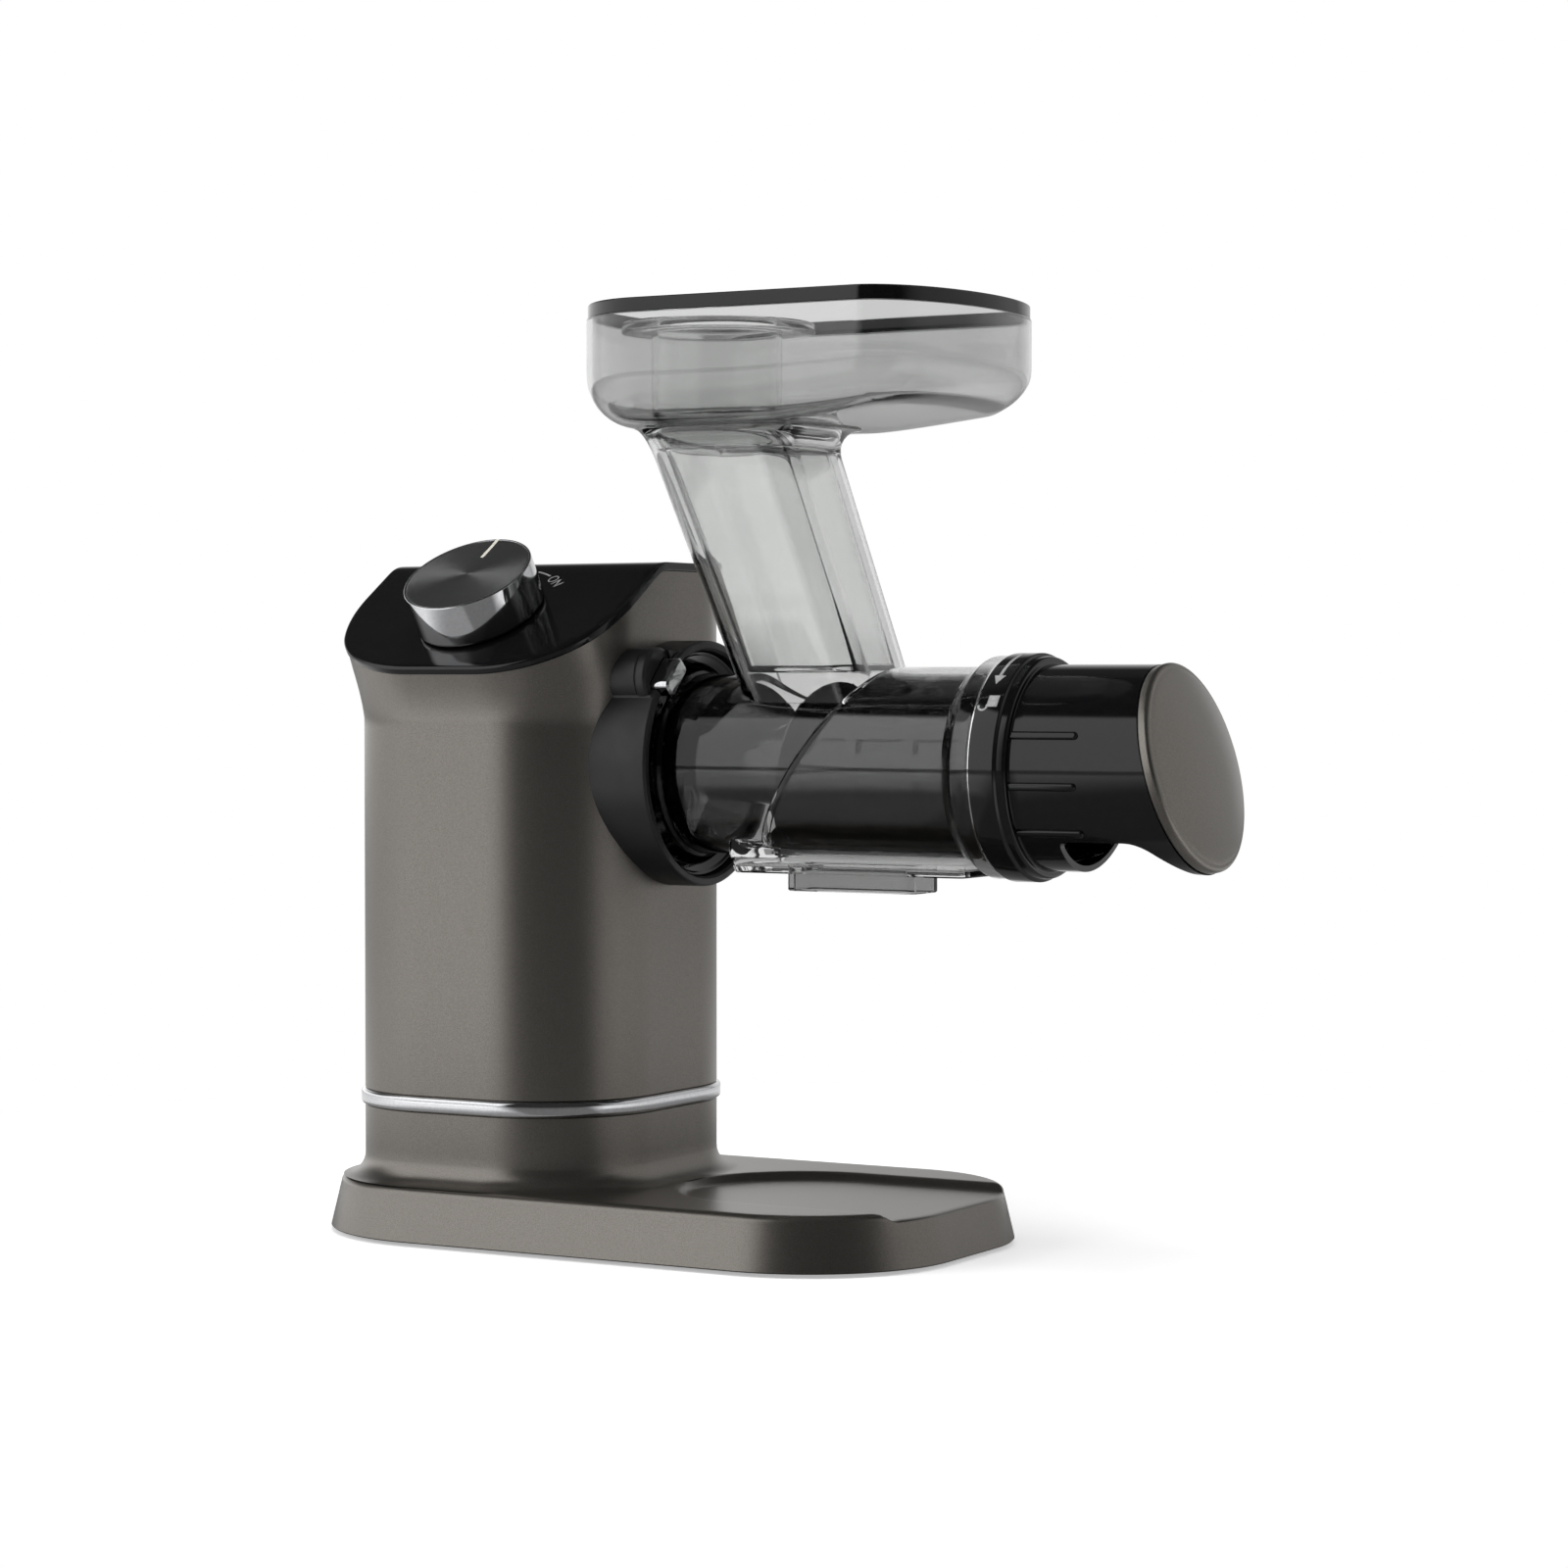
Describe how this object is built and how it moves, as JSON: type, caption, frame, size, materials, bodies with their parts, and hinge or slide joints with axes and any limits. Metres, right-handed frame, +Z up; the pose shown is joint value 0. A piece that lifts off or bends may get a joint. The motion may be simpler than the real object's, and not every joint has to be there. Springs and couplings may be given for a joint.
{
  "type": "cold press juicer",
  "caption": "Horizontal masticating juicer: motor column on a long base, clear barrel with auger and strainer, feed tray, pusher, locking end cap and a control knob",
  "frame": {"origin": "centre of the bounding box in X and Y, at the plane the feet stand on", "axes": "+X runs along the juicing barrel away from the motor column, +Y points away from the user who faces the sloped control panel, +Z is up"},
  "size_m": [0.3876, 0.1678, 0.3771],
  "materials": {
    "body_paint": "metallic taupe-grey paint with a fine flake",
    "gloss_black": "gloss black plastic",
    "matte_black": "satin black plastic",
    "chrome_trim": "polished chrome plating",
    "spun_face": "spun aluminium face, dark anodised",
    "steel_parts": "plain machined steel",
    "bronze_bush": "sintered bronze and copper windings",
    "rubber_parts": "moulded black rubber",
    "clear_smoke": "clear smoke-grey plastic",
    "pale_nylon": "pale moulded nylon",
    "circuit_board": "green board with black chips"
  },
  "bodies": {
    "housing": {"base_shell": "body_paint", "bottom_cover": "matte_black", "rubber_feet": "rubber_parts", "base_screws": "steel_parts", "trim_band": "chrome_trim", "cord_inlet": "rubber_parts", "chassis": "matte_black", "body_housing": "body_paint", "top_panel": "gloss_black", "rotary_switch": "matte_black", "control_board": "circuit_board", "board_screws": "steel_parts", "motor_cradle": "matte_black", "motor_can": "steel_parts", "motor_end_cap": "matte_black", "stator_core": "steel_parts", "gearbox_plate": "steel_parts", "gearbox_cover": "matte_black", "gearbox_posts": "steel_parts", "gearbox_screws": "steel_parts", "gear_pins": "steel_parts", "output_bushes": "bronze_bush", "output_seal": "rubber_parts", "collar_housing": "matte_black", "socket_liner": "gloss_black", "interlock_switch": "matte_black", "button_spring": "steel_parts"},
    "rotor": {"rotor_shaft": "steel_parts", "rotor_core": "bronze_bush", "motor_fan": "pale_nylon", "motor_pinion": "steel_parts"},
    "gear_one": {"first_gear": "pale_nylon"},
    "gear_two": {"second_gear": "pale_nylon"},
    "drive": {"output_gear": "steel_parts", "output_shaft": "steel_parts", "drive_coupling": "steel_parts", "auger": "matte_black", "auger_insert": "steel_parts"},
    "chamber": {"juicing_barrel": "clear_smoke", "chamber_seal": "rubber_parts", "strainer_frame": "matte_black", "strainer_mesh": "steel_parts", "strainer_seal": "rubber_parts", "feed_tray": "clear_smoke", "hopper_rim": "gloss_black"},
    "cap": {"end_cap": "gloss_black", "nose_bush": "bronze_bush", "end_dome": "body_paint", "dome_screws": "steel_parts"},
    "pusher": {"pusher_stem": "clear_smoke", "pusher_cap": "clear_smoke"},
    "button": {"release_button": "chrome_trim", "latch_pin": "steel_parts"},
    "knob": {"knob_body": "chrome_trim", "knob_face": "spun_face", "knob_pointer": "chrome_trim", "knob_shaft": "steel_parts"}
  },
  "joints": [
    {"name": "auger_spin", "type": "hinge", "parent": "housing", "child": "drive", "pos_m": [-0.01241, 0, 0.1935], "axis": [1, 0, 0], "continuous": true},
    {"name": "gear_two_spin", "type": "hinge", "parent": "housing", "child": "gear_two", "pos_m": [-0.06941, 0, 0.1545], "axis": [1, 0, 0], "continuous": true},
    {"name": "gear_one_spin", "type": "hinge", "parent": "housing", "child": "gear_one", "pos_m": [-0.07641, 0, 0.1281], "axis": [1, 0, 0], "continuous": true},
    {"name": "rotor_spin", "type": "hinge", "parent": "housing", "child": "rotor", "pos_m": [-0.11241, 0, 0.1041], "axis": [1, 0, 0], "continuous": true},
    {"name": "knob_turn", "type": "hinge", "parent": "housing", "child": "knob", "pos_m": [-0.11241, -0.0445, 0.25425], "axis": [0, -0.5446, 0.8387], "range_deg": [-45, 45]},
    {"name": "button_press", "type": "slide", "parent": "housing", "child": "button", "axis": [-1, 0, 0], "range_m": [0, 0.004], "stiffness_N_per_m": 800, "springref_m": -0.002},
    {"name": "chamber_turn", "type": "hinge", "parent": "housing", "child": "chamber", "pos_m": [-0.01241, 0, 0.1935], "axis": [1, 0, 0], "range_deg": [-28, 0]},
    {"name": "cap_turn", "type": "hinge", "parent": "chamber", "child": "cap", "pos_m": [0.14759, 0, 0.1935], "axis": [1, 0, 0], "range_deg": [-30, 0]},
    {"name": "pusher_lift", "type": "slide", "parent": "chamber", "child": "pusher", "axis": [-0.3625, 0, 0.932], "range_m": [0, 0.16]}
  ],
  "couplings": [
    {"joint": "gear_two_spin", "follows": "auger_spin", "ratio": -3.3333},
    {"joint": "gear_one_spin", "follows": "auger_spin", "ratio": 10},
    {"joint": "rotor_spin", "follows": "auger_spin", "ratio": -30}
  ]
}
